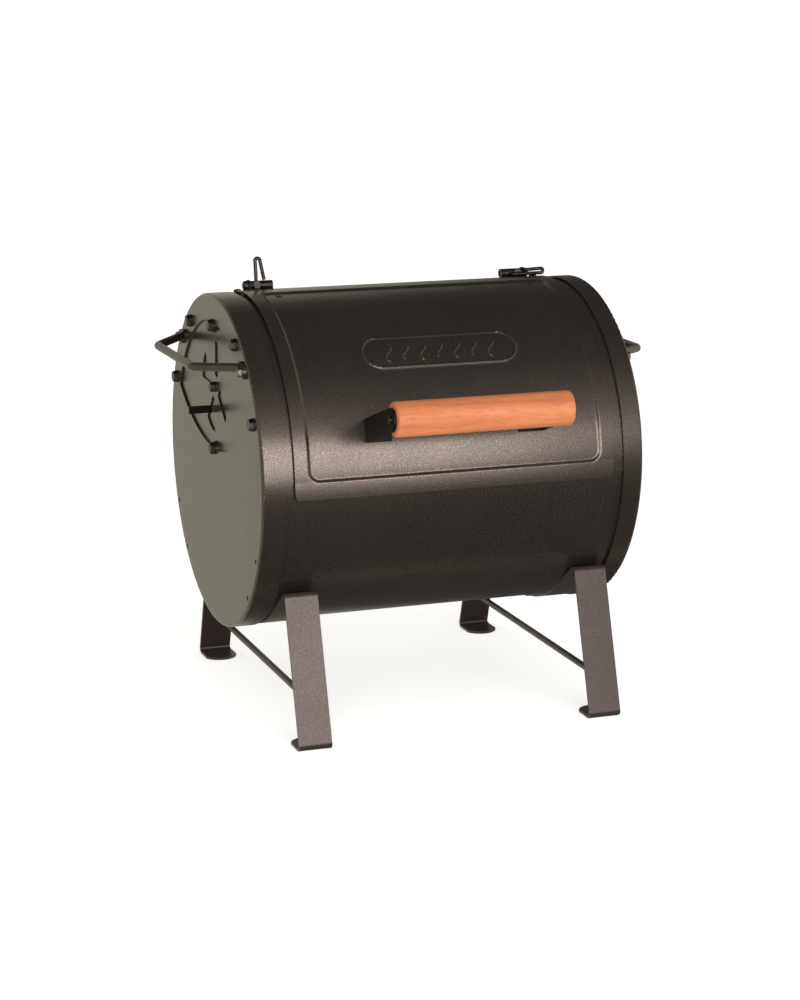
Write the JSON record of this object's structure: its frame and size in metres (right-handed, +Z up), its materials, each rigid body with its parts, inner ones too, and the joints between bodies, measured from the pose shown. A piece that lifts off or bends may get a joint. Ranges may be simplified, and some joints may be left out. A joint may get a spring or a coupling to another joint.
{
  "type": "table-top barrel charcoal grill",
  "caption": "Short horizontal barrel charcoal grill on folded strap legs, with a hinged lid, wooden handle, pull-out ash drawer, end dampers and side-mounting cut-out.",
  "frame": {"origin": "centre of the whole object's footprint box, on the ground under the feet", "axes": "+X along the barrel towards the ash drawer end, -Y towards the lid handle at the front, +Z up"},
  "size_m": [0.5434, 0.4867, 0.5119],
  "materials": {
    "shell_coat": "dark brown-black speckled metallic powder coat, satin",
    "leg_coat": "brown-grey speckled metallic powder coat, satin",
    "handle_coat": "grey-black powder coat on round bar",
    "black_coat": "flat black powder coat",
    "hinge_steel": "dark oiled steel",
    "dark_bolt": "dark blackened steel",
    "bright_bolt": "zinc plated steel",
    "grip_wood": "orange-brown turned hardwood, satin",
    "grate_iron": "rough black cast iron",
    "bare_steel": "heat-proof black coat"
  },
  "bodies": {
    "barrel": {"lower_shell": "shell_coat", "upper_shell": "shell_coat", "left_end_cap": "shell_coat", "cover_plate": "shell_coat", "leg_strap_left": "leg_coat", "leg_strap_right": "leg_coat", "brace_left": "leg_coat", "brace_right": "leg_coat", "left_carry_handle": "handle_coat", "hinge_bracket_left": "black_coat", "hinge_bracket_right": "black_coat", "cover_plate_bolts": "dark_bolt", "left_damper_bolt": "dark_bolt", "leg_bolts_left": "dark_bolt", "leg_bolts_right": "dark_bolt", "hinge_bracket_bolts": "dark_bolt", "rail_rivets": "dark_bolt", "left_cap_rivets": "dark_bolt", "left_handle_bolts": "bright_bolt", "cooking_grate_left": "grate_iron", "cooking_grate_right": "grate_iron", "support_rail_front": "bare_steel", "support_rail_rear": "bare_steel"},
    "lid": {"lid_skin": "shell_coat", "lid_grip": "grip_wood", "lid_grip_screws": "bright_bolt", "lid_arm_bolts": "dark_bolt", "hinge_leaf_rivets": "dark_bolt", "hinge_lock_bolts": "dark_bolt", "hitch_clip_left": "hinge_steel", "hitch_clip_right": "hinge_steel", "lid_arm_left": "black_coat", "lid_arm_right": "black_coat", "hinge_leaf_left": "hinge_steel", "hinge_leaf_right": "hinge_steel", "hinge_pin_left": "hinge_steel", "hinge_pin_right": "hinge_steel"},
    "ash_drawer": {"drawer_front": "shell_coat", "drawer_tray": "bare_steel", "tray_bolts": "dark_bolt", "charcoal_grate": "bare_steel", "right_damper_bolt": "dark_bolt", "right_carry_handle": "handle_coat", "right_handle_bolts": "bright_bolt"},
    "left_damper": {"left_damper": "shell_coat"},
    "right_damper": {"right_damper": "shell_coat"}
  },
  "joints": [
    {"name": "lid_hinge", "type": "hinge", "parent": "barrel", "child": "lid", "pos_m": [0, 0.07744, 0.479], "axis": [-1, 0, 0], "range_deg": [0, 95]},
    {"name": "drawer_slide", "type": "slide", "parent": "barrel", "child": "ash_drawer", "axis": [1, 0, 0], "range_m": [0, 0.38]},
    {"name": "left_damper_turn", "type": "hinge", "parent": "barrel", "child": "left_damper", "pos_m": [-0.2182, 0.03744, 0.372], "axis": [-1, 0, 0], "range_deg": [-7, 18]},
    {"name": "right_damper_turn", "type": "hinge", "parent": "ash_drawer", "child": "right_damper", "pos_m": [0.2205, 0.03744, 0.212], "axis": [-1, 0, 0], "range_deg": [-7, 18]}
  ]
}
